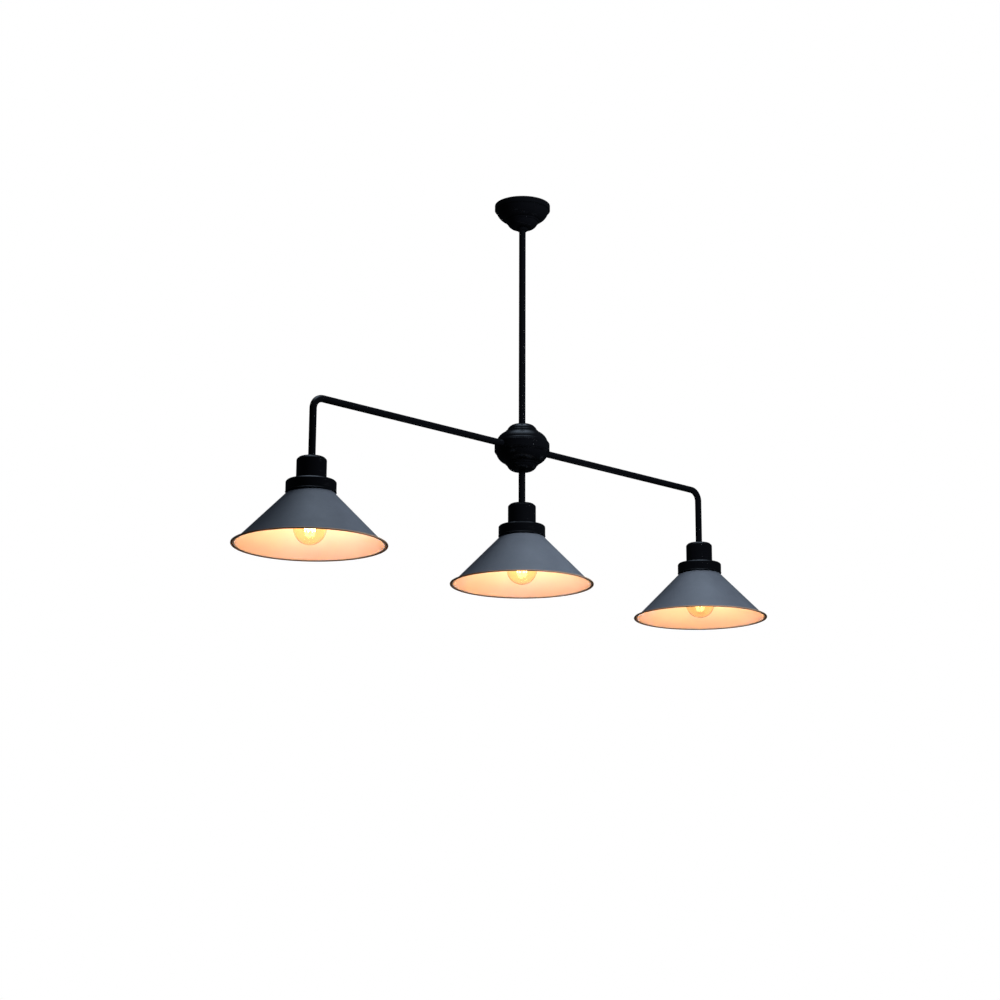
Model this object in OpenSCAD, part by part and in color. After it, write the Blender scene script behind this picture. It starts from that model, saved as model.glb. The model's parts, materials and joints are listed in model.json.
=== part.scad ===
// Three-light pendant for a pool table: a ceiling canopy, one stem, a stepped hub,
// two bent arms and three conical shades in a row.
// Frame: X along the row of lamps, Z up, origin on the ceiling plate's upper face
// at the stem's axis, so the whole lamp hangs below Z = 0.

/* [Overall] */
// Distance from one lamp's axis to the next
lamp_spacing = 520; // [420:10:640]
// Length of stem seen between the canopy's collar and the hub
stem_visible = 408; // [208:10:708]
// Height of the arms' centreline above the shades' lower edge
bar_height = 276; // [250:1:340]

/* [Tubes] */
// Outer diameter of the stem, the arms and the drop tube
tube_d = 13.5; // [13:0.1:14]
// Centreline radius of the arms' elbows
elbow_r = 22; // [18:1:40]

/* [Shades] */
// Diameter over the rolled rim
shade_d = 280; // [260:5:300]
// Thickness of the spun sheet
sheet_t = 0.9; // [0.7:0.1:1.2]
// Diameter of the rolled rim's section
rim_bead_d = 3.4; // [2.6:0.2:4]

/* [Lamp caps] */
// Outer diameter of the narrow cup over the lampholder
cup_d = 55.6; // [52:0.2:60]
// Outer diameter of the wide cap over the shade's neck
cap_d = 91.5; // [90:0.5:96]
// Height of the wide cap
cap_h = 21.5; // [20:0.1:26]
// Height of the narrow cup
cup_h = 44.4; // [43:0.1:50]

/* [Hub and canopy] */
// Diameter of the hub's middle band
hub_d = 108.8; // [106:0.2:112]
// Height of the hub's middle band
hub_band_h = 21; // [21:1:24]
// How much larger the canopy's pressing is than the hub's
canopy_scale = 1.04; // [1:0.01:1.1]

/* [Bulbs] */
// Diameter of the bulb's globe
bulb_d = 60; // [55:1:60]
// Height of the bulb's lowest point above the shade's lower edge
bulb_rise = 1.5; // [0.5:0.5:4]

/* [Hidden] */

$fn = 96;
eps = 0.01;
cut = 1;                       // how far a cutter runs past the face it opens

// Heights are kept to a hundredth, so that pieces that meet share one plane
function hundredths(v) = round(v * 100) / 100;

black = [0.05, 0.05, 0.055];
slate = [0.30, 0.32, 0.36];
steel = [0.70, 0.71, 0.73];
brass_tone = [0.80, 0.65, 0.32];
glass_tone = [1.0, 0.93, 0.78, 0.35];
ceramic_tone = [0.92, 0.91, 0.88];

// Fits
fit_gap = 0.05;                // radial gap of a threaded or running fit
loose_gap = 0.2;               // radial gap of a plain hole

// Threaded nipples and lock nuts, M10 x 1
nipple_r = 5;
nipple_bore_r = 4;
nipple_len = 32;
nipple_proud = 4.5;            // how far the stem's upper nipple stands out of the yoke
thread_hole_r = nipple_r + fit_gap;
nut_flats = 14;
nut_h = 3;

// Tubes
tube_r = tube_d / 2;
tube_bore_r = thread_hole_r;

// Ceiling plate, with the yoke that carries the stem under it
plate_l = 92;
plate_w = 22;
plate_t = 2;
slot_spacing = 78;
slot_w = 4.5;
slot_l = 9;
ear_w = 24;
ear_reach = 30;
yoke_screw_x = 27.5;
yoke_inner = 40;
yoke_drop = 16;
yoke_w = 16;
yoke_l = 66;
yoke_screw_r = 2;

// Terminal block
block = [24, 16, 10];
block_y = 13;
block_screw_r = 1.6;
block_screw_spacing = 8;

// Earth wire's foot on the yoke, and the screw through its lug
earth_x = 10;
earth_y = 4;
earth_lug_x = 15.5;
earth_screw_r = 1.5;
lug_t = 0.8;

// Stepped pressing, as (radius, height over the band's middle plane)
rim_r = 52;
rim_z = hub_band_h / 2;
tier_centre = [25.5, 6];
tier_r = 26;
tier_end = 71;
bead_centre = [30.8, 32];
bead_r = 2.2;
dome_centre = [14, 30.5];
dome_r = 16.5;
dome_start = 12;
dome_end = 77.4;
press_t = 1.2;
press_top = hundredths(dome_centre[1] + dome_r * sin(dome_end));
dome_end_inner = asin((press_top - press_t - dome_centre[1]) / (dome_r - press_t));

// Canopy and its collar
canopy_band_r = 56;
canopy_band_h = 11;
canopy_h = hundredths(canopy_band_h + (press_top - rim_z) * canopy_scale);
canopy_hole_r = tube_r + 0.45;
collar_r = 11;
collar_h = 6;
collar_chamfer = 2;
collar_screw_r = 1.25;
collar_screw_z = 3.8;

// Heights
stem_top = -plate_t - yoke_drop;
collar_base = -canopy_h - collar_h;
hub_z = collar_base - stem_visible - press_top;
shade_z = hub_z - bar_height;

// Hub
hub_r = hub_d / 2;
band_r_in = 49;
band_chamfer = 1.4;
core_r = 15;
core_arm_r = 12;
core_half_l = 30;
arm_socket_r = tube_r + fit_gap;
arm_start = 12;
grub_x = 22;
grub_r = 2.5;

// Lamp, heights over the shade's lower edge
neck_r = 42.3;
cone_slope = 0.975;            // radius lost for each unit of height
cone_foot_r = shade_d / 2 - 3.7;
cone_top = hundredths((cone_foot_r - neck_r) / cone_slope);
cap_gap = 0.3;                 // between the cone's shoulder and the wide cap
cap_t = 1.5;
cap_top = cone_top + cap_gap + cap_h;
cap_base = cap_top - cap_h;
shade_top = cap_top - cap_t;
cup_t = 1.5;
cup_top = cap_top + cup_h;
cup_fillet = 3.5;
shade_hole_r = 20.5;

// Lampholder, E27
skirt_r = 20;
skirt_bore_r = 14.6;
skirt_chamber_r = 18.2;
skirt_base = cap_top - 34.2;
seat_z = cap_top - 6.2;
skirt_top = cap_top + 8.6;
flange_r = 23;
flange_h = 3.5;
holder_r = 19.6;
holder_neck_r = 8;
holder_neck_h = 8.5;
holder_wall = 1.5;
holder_apex = cup_top - cup_t - nut_h;
shell_r = 13.5;
shell_t = 0.5;
contact_t = 0.8;

// Shade ring
ring_r = 25;
ring_flange_r = 29;
ring_flange_h = 3;
ring_h = 8.5;

// Bulb, A60 with an E27 base
globe_r = bulb_d / 2;
globe_z = bulb_rise + globe_r;
glass_t = 0.8;
bulb_neck_r = 12.6;
shoulder_a = 38;
shoulder_r = (globe_r * cos(shoulder_a) - bulb_neck_r) / (1 - cos(shoulder_a));
shoulder_z = globe_z + (globe_r + shoulder_r) * sin(shoulder_a);
base_r = 13.2;
base_bore_r = 12.7;
tip_top = seat_z - contact_t - fit_gap;
tip_h = 4.1;
base_h = 23;
neck_lap = 6;                  // how far the glass reaches into the base
base_top = tip_top - tip_h;
base_foot = base_top - base_h;
glass_top = base_foot + neck_lap;
filament_rods = 8;
filament_ring_r = 7.5;

// Wires: six cores of the same size
wire_r = 0.85;
pair_y = 1.05;
side_x = 2.3;
centre_y = 2.9;
wire_turn_r = 4;
hub_turn_r = 8;
wire_low_z = -6.4;
wire_high_z = -4.5;
wire_foot = skirt_top - 2;

LAMPS = [-1, 0, 1];            // left, centre, right

// ---- shared shapes ----

// Points along an arc, ends included
function arc(c, r, a0, a1, n) =
    [for (i = [0:n]) let (a = a0 + (a1 - a0) * i / n) [c[0] + r * cos(a), c[1] + r * sin(a)]];

function reversed(list) = [for (i = [len(list) - 1:-1:0]) list[i]];

module at_lamp(side) translate([side * lamp_spacing, 0, shade_z]) children();

module ring(r_out, r_in, h) {
    difference() {
        cylinder(r = r_out, h = h);
        translate([0, 0, -cut]) cylinder(r = r_in, h = h + 2 * cut);
    }
}

module tube(length) ring(tube_r, tube_bore_r, length);

module hex_nut(flats, bore_r, h) {
    difference() {
        cylinder(r = flats / sqrt(3), h = h, $fn = 6);
        translate([0, 0, -cut]) cylinder(r = bore_r, h = h + 2 * cut);
    }
}

module nipple() ring(nipple_r, nipple_bore_r, nipple_len);

// Quarter of a torus in the XZ plane, from angle a0 to a0 + 90
module bend(r, section_r, a0, bore_r = 0) {
    rotate([90, 0, 0])
        rotate_extrude(start = a0, angle = 90)
            translate([r, 0])
                difference() {
                    circle(r = section_r);
                    if (bore_r > 0) circle(r = bore_r);
                }
}

// Outer outline of the stepped pressing, from its rim to its middle
function press_outer() = concat(
    [[rim_r, rim_z], [rim_r, rim_z + 1.5]],
    arc(tier_centre, tier_r, 13.3, tier_end, 10),
    arc(bead_centre, bead_r, -40, 100, 7),
    arc(dome_centre, dome_r, dome_start, dome_end, 10));

function press_inner() = concat(
    [[rim_r - press_t, rim_z], [rim_r - press_t, rim_z + 1.5 - press_t]],
    arc(tier_centre, tier_r - press_t, 11, tier_end, 10),
    arc(dome_centre, dome_r - press_t, dome_start, dome_end_inner, 10));

// Half section of a hub cup, closed at a hole of hole_r
module press_section(hole_r) {
    polygon(concat(press_outer(), [[hole_r, press_top], [hole_r, press_top - press_t]],
        reversed(press_inner())));
}

// ---- ceiling plate, yoke, terminals ----

module slot(l, w, h) {
    straight = (l - w) / 2;
    for (s = [-1, 1]) translate([s * straight, 0, 0]) cylinder(r = w / 2, h = h);
    translate([-straight, -w / 2, 0]) cube([2 * straight, w, h]);
}

module ceiling_plate() {
    color(steel) difference() {
        translate([0, 0, -plate_t]) union() {
            translate([-plate_l / 2, -plate_w / 2, 0]) cube([plate_l, plate_w, plate_t]);
            translate([-ear_w / 2, 0, 0]) cube([ear_w, ear_reach, plate_t]);
        }
        for (s = [-1, 1]) {
            translate([s * slot_spacing / 2, 0, -plate_t - cut]) slot(slot_l, slot_w, plate_t + 2 * cut);
            translate([s * yoke_screw_x, 0, -plate_t - cut])
                cylinder(r = yoke_screw_r + fit_gap, h = plate_t + 2 * cut);
            translate([s * yoke_screw_x, 0, -plate_t])
                cylinder(r1 = yoke_screw_r + fit_gap, r2 = 2 * yoke_screw_r + fit_gap, h = plate_t + eps);
        }
    }
}

// Hat-shaped strap under the plate; its bridge carries the stem
module stem_yoke() {
    bridge_z = stem_top;
    color(steel) difference() {
        union() {
            translate([-yoke_l / 2, -yoke_w / 2, -2 * plate_t]) cube([yoke_l, yoke_w, plate_t]);
            translate([-yoke_inner / 2 - plate_t, -yoke_w / 2, bridge_z])
                cube([yoke_inner + 2 * plate_t, yoke_w, yoke_drop]);
        }
        translate([-yoke_inner / 2, -yoke_w / 2 - cut, bridge_z + plate_t])
            cube([yoke_inner, yoke_w + 2 * cut, yoke_drop]);
        translate([0, 0, bridge_z - cut]) cylinder(r = thread_hole_r, h = plate_t + 2 * cut);
        for (s = [-1, 1])
            translate([s * yoke_screw_x, 0, -2 * plate_t - cut])
                cylinder(r = yoke_screw_r + fit_gap, h = plate_t + 2 * cut);
        earth_screw_place(-cut) cylinder(r = earth_screw_r + fit_gap, h = plate_t + 2 * cut);
    }
}

// Countersunk screws that hold the yoke to the plate
module plate_screws() {
    head_h = plate_t;
    color(steel) for (s = [-1, 1])
        translate([s * yoke_screw_x, 0, 0]) difference() {
            union() {
                translate([0, 0, -9]) cylinder(r = yoke_screw_r, h = 9 - head_h + eps);
                translate([0, 0, -head_h]) cylinder(r1 = yoke_screw_r, r2 = 2 * yoke_screw_r, h = head_h);
            }
            translate([-3, -0.4, -0.8]) cube([6, 0.8, 0.8 + cut]);
        }
}

module terminal_screw_places() {
    for (i = [-1:1])
        translate([i * block_screw_spacing, block_y + block[1] / 2, -plate_t - block[2]]) children();
}

module terminal_block() {
    color([0.93, 0.93, 0.90]) difference() {
        translate([-block[0] / 2, block_y, -plate_t - block[2]]) cube(block);
        terminal_screw_places() translate([0, 0, -cut]) cylinder(r = block_screw_r + loose_gap, h = 4 + cut);
    }
}

module terminal_screws() {
    color(brass_tone) terminal_screw_places() translate([0, 0, 0.6]) difference() {
        cylinder(r = block_screw_r, h = 3.4);
        translate([-2, -0.3, -cut]) cube([4, 0.6, 0.6 + cut]);
    }
}

module earth_screw_place(dz) translate([earth_lug_x, 0, stem_top + dz]) children();

// Earth wire: out of the block, over and down to a lug on the yoke's bridge
module earth_wire() {
    run_z = -9.5;
    r_turn = 3;
    lug_top = stem_top + plate_t + lug_t;
    color([0.45, 0.62, 0.15]) {
        translate([earth_x, earth_y + r_turn, run_z]) rotate([-90, 0, 0])
            cylinder(r = wire_r, h = block_y - earth_y - r_turn);
        translate([earth_x, earth_y + r_turn, run_z - r_turn]) rotate([0, 0, 90])
            bend(r_turn, wire_r, 90);
        translate([earth_x, earth_y, lug_top]) cylinder(r = wire_r, h = run_z - r_turn - lug_top);
        difference() {
            translate([0, 0, lug_top - lug_t]) union() {
                translate([earth_lug_x, 0, 0]) cylinder(r = 3.4, h = lug_t);
                translate([earth_x - 1.5, -1, 0]) cube([6, 6.5, lug_t]);
            }
            translate([earth_lug_x, 0, lug_top - 2]) cylinder(r = earth_screw_r + fit_gap, h = 3);
        }
    }
}

module earth_screw() {
    lug_top = plate_t + lug_t;
    color(brass_tone) earth_screw_place(0) difference() {
        union() {
            translate([0, 0, -2]) cylinder(r = earth_screw_r, h = lug_top + 2 + eps);
            translate([0, 0, lug_top]) cylinder(r = 2.8, h = 2);
        }
        translate([-4, -0.35, lug_top + 1]) cube([8, 0.7, 1 + cut]);
    }
}

// ---- canopy ----

// Half section of the canopy: a straight band, then the stepped pressing, upside down
module canopy() {
    k = canopy_scale;
    outer = [for (p = press_outer()) [p[0] * k, (p[1] - rim_z) * k + canopy_band_h]];
    inner = [for (p = press_inner()) [p[0] * k, (p[1] - rim_z) * k + canopy_band_h]];
    band_in = canopy_band_r - press_t;
    section = concat(
        [[canopy_band_r, 0], [canopy_band_r, canopy_band_h - band_chamfer],
            [canopy_band_r - band_chamfer, canopy_band_h]],
        outer,
        [[canopy_hole_r, canopy_h], [canopy_hole_r, canopy_h - press_t * k]],
        reversed(inner),
        [[(rim_r - press_t) * k, canopy_band_h - press_t], [band_in - 1, canopy_band_h - press_t],
            [band_in, canopy_band_h - press_t - 1], [band_in, 0]]);
    color(black) mirror([0, 0, 1]) rotate_extrude() polygon(section);
}

module canopy_collar() {
    color(black) translate([0, 0, collar_base]) difference() {
        union() {
            translate([0, 0, collar_chamfer]) cylinder(r = collar_r, h = collar_h - collar_chamfer);
            cylinder(r1 = collar_r - collar_chamfer, r2 = collar_r, h = collar_chamfer);
        }
        translate([0, 0, -cut]) cylinder(r = tube_r + fit_gap, h = collar_h + 2 * cut);
        translate([0, 0, collar_screw_z]) rotate([90, 0, 0])
            cylinder(r = collar_screw_r + fit_gap, h = collar_r + cut);
    }
}

module collar_screw() {
    screw_l = collar_r - tube_r - 0.3;
    color(steel) translate([0, -tube_r - fit_gap, collar_base + collar_screw_z]) rotate([90, 0, 0])
        difference() {
            cylinder(r = collar_screw_r, h = screw_l);
            translate([0, 0, screw_l - 1.5]) cylinder(r = 0.7, h = 1.5 + cut, $fn = 6);
        }
}

// ---- stem, nipples, nuts ----

module stem_tube() {
    foot = hub_z + press_top;
    color(black) translate([0, 0, foot]) tube(stem_top - foot);
}

module threaded_nipples() {
    color(steel) {
        translate([0, 0, stem_top + plate_t + nipple_proud - nipple_len]) nipple();
        for (s = [-1, 1])
            translate([0, 0, hub_z + s * press_top - nipple_len / 2]) nipple();
        for (side = LAMPS)
            at_lamp(side) translate([0, 0, cup_top - nipple_len / 2]) nipple();
    }
}

module lock_nuts() {
    color(steel) {
        translate([0, 0, stem_top + plate_t]) hex_nut(nut_flats, thread_hole_r, nut_h);
        for (side = LAMPS)
            at_lamp(side) translate([0, 0, cup_top - cup_t - nut_h]) hex_nut(nut_flats, thread_hole_r, nut_h);
    }
}

// ---- hub ----

module hub_cup() rotate_extrude() press_section(thread_hole_r + fit_gap);

module hub_upper_cup() color(black) translate([0, 0, hub_z]) hub_cup();

module hub_lower_cup() color(black) translate([0, 0, hub_z]) mirror([0, 0, 1]) hub_cup();

module hub_band() {
    h = rim_z;
    c = band_chamfer;
    color(black) translate([0, 0, hub_z]) difference() {
        rotate_extrude() polygon([[band_r_in, -h], [hub_r - c, -h], [hub_r, c - h],
            [hub_r, h - c], [hub_r - c, h], [band_r_in, h]]);
        for (a = [-90, 90]) rotate([0, a, 0]) cylinder(r = tube_r + loose_gap, h = hub_r + cut);
    }
}

// Cross block that the stem, the arms and the drop tube are fixed to
module hub_core() {
    half_h = press_top - press_t;
    color(steel) translate([0, 0, hub_z]) difference() {
        union() {
            translate([0, 0, -half_h]) cylinder(r = core_r, h = 2 * half_h);
            translate([-core_half_l, 0, 0]) rotate([0, 90, 0]) cylinder(r = core_arm_r, h = 2 * core_half_l);
        }
        translate([0, 0, -half_h - cut]) cylinder(r = thread_hole_r, h = 2 * (half_h + cut));
        translate([-arm_start - cut, 0, 0]) rotate([0, 90, 0])
            cylinder(r = tube_bore_r - 0.05, h = 2 * (arm_start + cut));
        for (s = [-1, 1]) {
            translate([s * arm_start, 0, 0]) rotate([0, s * 90, 0])
                cylinder(r = arm_socket_r, h = core_half_l - arm_start + cut);
            translate([s * grub_x, 0, 0]) cylinder(r = grub_r, h = core_arm_r + cut);
        }
    }
}

module hub_grub_screws() {
    color(steel) for (s = [-1, 1])
        translate([s * grub_x, 0, hub_z + tube_r + fit_gap]) difference() {
            cylinder(r = grub_r - fit_gap, h = 5);
            translate([0, 0, 3]) cylinder(r = 1.25, h = 3, $fn = 6);
        }
}

// ---- arms and drop ----

module arm_left() {
    lamp_x = -lamp_spacing;
    elbow_x = lamp_x + elbow_r;
    foot = shade_z + cup_top;
    color(black) {
        translate([elbow_x, 0, hub_z]) rotate([0, 90, 0]) tube(-arm_start - elbow_x);
        translate([elbow_x, 0, hub_z - elbow_r]) bend(elbow_r, tube_r, 90, tube_bore_r);
        translate([lamp_x, 0, foot]) tube(hub_z - elbow_r - foot);
    }
}

module arm_right() mirror([1, 0, 0]) arm_left();

module drop_tube() {
    foot = shade_z + cup_top;
    color(black) translate([0, 0, foot]) tube(hub_z - press_top - foot);
}

// ---- wires ----

module wire_up(x, y, z0, z1) translate([x, y, z0]) cylinder(r = wire_r, h = z1 - z0);

// From the stem's top over to the terminal block
module wire_head(x, y, run_z) {
    start_y = y + wire_turn_r;
    translate([x, start_y, run_z - wire_turn_r]) rotate([0, 0, 90]) bend(wire_turn_r, wire_r, 90);
    translate([x, start_y, run_z]) rotate([-90, 0, 0]) cylinder(r = wire_r, h = block_y - start_y);
}

module wires_centre() {
    color([0.75, 0.72, 0.66]) for (s = [-1, 1]) {
        run_z = s < 0 ? wire_high_z : wire_low_z;
        wire_up(0, s * centre_y, shade_z + wire_foot, run_z - wire_turn_r);
        wire_head(0, s * centre_y, run_z);
    }
}

module wires_left() {
    lamp_x = -lamp_spacing;
    elbow_x = lamp_x + elbow_r;
    turn_x = -side_x - hub_turn_r;
    color([0.75, 0.72, 0.66]) for (s = [-1, 1]) {
        y = s * pair_y;
        run_z = s < 0 ? wire_high_z : wire_low_z;
        wire_up(lamp_x, y, shade_z + wire_foot, hub_z - elbow_r);
        translate([elbow_x, y, hub_z - elbow_r]) bend(elbow_r, wire_r, 90);
        translate([elbow_x, y, hub_z]) rotate([0, 90, 0]) cylinder(r = wire_r, h = turn_x - elbow_x);
        translate([turn_x, y, hub_z + hub_turn_r]) bend(hub_turn_r, wire_r, 270);
        wire_up(-side_x, y, hub_z + hub_turn_r, run_z - wire_turn_r);
        wire_head(-side_x, y, run_z);
    }
}

module wires_right() mirror([1, 0, 0]) wires_left();

// ---- lampholder ----

module socket_cup(side) {
    r = cup_d / 2;
    f = cup_fillet;
    color(black) at_lamp(side) rotate_extrude() polygon(concat(
        [[r - cup_t, cap_top], [r, cap_top]],
        arc([r - f, cup_top - f], f, 0, 90, 6),
        [[thread_hole_r + fit_gap, cup_top], [thread_hole_r + fit_gap, cup_top - cup_t],
            [r - f, cup_top - cup_t], [r - cup_t, cup_top - f]]));
}

module holder_top(side) {
    dome_base = holder_apex - holder_neck_h - 8;
    w = holder_wall;
    color(black) at_lamp(side) rotate_extrude() polygon([
        [holder_r - w, skirt_top], [holder_r, skirt_top], [holder_r, dome_base],
        [holder_neck_r + 3, holder_apex - holder_neck_h], [holder_neck_r, holder_apex - holder_neck_h],
        [holder_neck_r, holder_apex], [thread_hole_r, holder_apex],
        [thread_hole_r, cup_top - nipple_len / 2 - 1], [holder_neck_r + 1, cup_top - nipple_len / 2 - 1],
        [holder_r - w, dome_base - w]]);
}

module holder_skirt(side) {
    color(black) at_lamp(side) difference() {
        union() {
            translate([0, 0, skirt_base]) cylinder(r = skirt_r, h = cap_top - skirt_base + eps);
            translate([0, 0, cap_top]) cylinder(r = flange_r, h = flange_h);
            translate([0, 0, cap_top]) cylinder(r = holder_r, h = skirt_top - cap_top);
        }
        translate([0, 0, skirt_base - cut]) cylinder(r = skirt_bore_r, h = seat_z - skirt_base + 2 * cut);
        translate([0, 0, seat_z]) cylinder(r = skirt_chamber_r, h = skirt_top - seat_z + cut);
    }
}

// Ceramic discs that carry the live parts
module holder_inserts() {
    color(ceramic_tone) for (side = LAMPS)
        at_lamp(side) translate([0, 0, seat_z]) cylinder(r = skirt_chamber_r - loose_gap, h = skirt_top - 2 - seat_z);
}

module screw_shell(side) {
    shell_foot = skirt_base + 2;
    color(brass_tone) at_lamp(side) translate([0, 0, shell_foot])
        ring(shell_r + shell_t, shell_r, seat_z - shell_foot);
}

module centre_contacts() {
    color(brass_tone) for (side = LAMPS)
        at_lamp(side) translate([-6, -2.5, seat_z - contact_t]) cube([12, 5, contact_t]);
}

// ---- shade and its fittings ----

module shade_cap(side) {
    r = cap_d / 2;
    f = 3;
    bead = 0.8;
    color(black) at_lamp(side) rotate_extrude() polygon(concat(
        [[r - 1.2, cap_base]],
        arc([r - 0.3, cap_base + bead], bead, -90, 60, 5),
        arc([r - f, cap_top - f], f, 0, 90, 6),
        [[shade_hole_r, cap_top], [shade_hole_r, shade_top], [r - f, shade_top], [r - 1.2, shade_top - 2]]));
}

// Spun cone with a straight neck, a flat top and a rolled rim
module shade(side) {
    rise = sheet_t * sqrt(1 + cone_slope * cone_slope);
    bead = rim_bead_d / 2;
    bead_x = shade_d / 2 - bead;
    lip_z = bead + sheet_t / 2;
    lip_r = cone_foot_r - cone_slope * lip_z;
    lip_a = asin(sheet_t / 2 / bead);
    inner_cone_top = cone_top - (rise - sheet_t) / cone_slope;
    color(slate) at_lamp(side) rotate_extrude() polygon(concat(
        [[shade_hole_r, shade_top], [neck_r - 1.5, shade_top], [neck_r - 0.4, shade_top - 0.4],
            [neck_r, shade_top - 1.5], [neck_r, cone_top], [lip_r, lip_z]],
        arc([bead_x, bead], bead, 180 - lip_a, lip_a - 180, 24),
        [[lip_r - rise + sheet_t * cone_slope, lip_z - sheet_t],
            [neck_r - sheet_t, inner_cone_top], [neck_r - sheet_t, shade_top - 1.6],
            [neck_r - 1.6, shade_top - sheet_t], [shade_hole_r, shade_top - sheet_t]]));
}

module shade_ring(side) {
    top = shade_top - sheet_t;
    color(black) at_lamp(side) difference() {
        union() {
            translate([0, 0, top - ring_flange_h]) cylinder(r = ring_flange_r, h = ring_flange_h);
            translate([0, 0, top - ring_h]) cylinder(r = ring_r, h = ring_h);
        }
        translate([0, 0, top - ring_h - cut]) cylinder(r = skirt_r + fit_gap, h = ring_h + 2 * cut);
    }
}

// ---- bulb ----

// Outline of the glass, inset by t, from the bottom of the globe to the neck's top
function glass_outline(t) = concat(
    arc([0, globe_z], globe_r - t, -90, shoulder_a, 22),
    arc([bulb_neck_r + shoulder_r, shoulder_z], shoulder_r + t, 180 + shoulder_a - 3, 180, 9),
    [[bulb_neck_r - t, glass_top]]);

module bulb_glass(side) {
    color(glass_tone) at_lamp(side) rotate_extrude()
        polygon(concat(glass_outline(0), reversed(glass_outline(glass_t))));
}

// Screw cap, with rounded threads drawn as rings
module bulb_base(side) {
    pitch = 3.63;
    turns = 5;
    crest_z = base_foot + 3;
    thread = [for (i = [0:turns * 2 - 1]) [i % 2 == 0 ? base_r : base_r - 0.35, crest_z + i * pitch / 2]];
    color(steel) at_lamp(side) rotate_extrude() polygon(concat(
        [[base_bore_r, base_foot], [base_r, base_foot]],
        thread,
        [[11.5, base_top], [9, base_top], [9, base_top - 0.6], [11.2, base_top - 0.6],
            [base_bore_r - 0.35, base_top - 2.4], [base_bore_r - 0.35, glass_top], [base_bore_r, glass_top]]));
}

// Dark glass insulator with the contact button on top
module bulb_contact(side) {
    color([0.2, 0.18, 0.2]) at_lamp(side) translate([0, 0, base_top + fit_gap]) union() {
        cylinder(r1 = 11, r2 = 6, h = 2.4);
        translate([0, 0, 2.4 - eps]) cylinder(r = 4.8, h = tip_top - base_top - fit_gap - 2.4 + eps);
    }
}

// Glass mount with a cage of straight filaments
module bulb_filament(side) {
    cage_top = globe_z + 24;
    cage_foot = globe_z - 6;
    color([1.0, 0.75, 0.35]) at_lamp(side) union() {
        translate([0, 0, glass_top - 1.5]) cylinder(r = bulb_neck_r - glass_t - fit_gap, h = 1.5);
        translate([0, 0, cage_top]) cylinder(r = 3.5, h = glass_top - 1.5 - cage_top + eps);
        translate([0, 0, cage_foot]) cylinder(r = 0.8, h = cage_top - cage_foot + eps);
        for (z = [cage_foot, cage_top]) translate([0, 0, z]) cylinder(r = filament_ring_r + 1, h = 0.8);
        for (i = [0:filament_rods - 1]) rotate(i * 360 / filament_rods)
            translate([filament_ring_r, 0, cage_foot]) cylinder(r = 0.6, h = cage_top - cage_foot, $fn = 16);
    }
}

ceiling_plate();
stem_yoke();
plate_screws();
terminal_block();
terminal_screws();
earth_wire();
earth_screw();
canopy();
canopy_collar();
collar_screw();
stem_tube();
threaded_nipples();
lock_nuts();
hub_upper_cup();
hub_band();
hub_lower_cup();
hub_core();
hub_grub_screws();
arm_left();
arm_right();
drop_tube();
wires_left();
wires_centre();
wires_right();
holder_inserts();
centre_contacts();
socket_cup(-1);  // socket_cup_left
socket_cup(0);  // socket_cup_centre
socket_cup(1);  // socket_cup_right
shade_cap(-1);  // shade_cap_left
shade_cap(0);  // shade_cap_centre
shade_cap(1);  // shade_cap_right
shade(-1);  // shade_left
shade(0);  // shade_centre
shade(1);  // shade_right
shade_ring(-1);  // shade_ring_left
shade_ring(0);  // shade_ring_centre
shade_ring(1);  // shade_ring_right
holder_top(-1);  // holder_top_left
holder_top(0);  // holder_top_centre
holder_top(1);  // holder_top_right
holder_skirt(-1);  // holder_skirt_left
holder_skirt(0);  // holder_skirt_centre
holder_skirt(1);  // holder_skirt_right
screw_shell(-1);  // screw_shell_left
screw_shell(0);  // screw_shell_centre
screw_shell(1);  // screw_shell_right
bulb_glass(-1);  // bulb_glass_left
bulb_glass(0);  // bulb_glass_centre
bulb_glass(1);  // bulb_glass_right
bulb_base(-1);  // bulb_base_left
bulb_base(0);  // bulb_base_centre
bulb_base(1);  // bulb_base_right
bulb_contact(-1);  // bulb_contact_left
bulb_contact(0);  // bulb_contact_centre
bulb_contact(1);  // bulb_contact_right
bulb_filament(-1);  // bulb_filament_left
bulb_filament(0);  // bulb_filament_centre
bulb_filament(1);  // bulb_filament_right
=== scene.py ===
"""Looks for the pool table lamp: three conical shades on a straight stem with two bent arms.

Everything is in metres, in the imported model's frame: X along the lamps, Z up, origin at the ceiling.
"""

import json
import math

import bmesh
import bpy
from mathutils import Matrix, Vector

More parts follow.
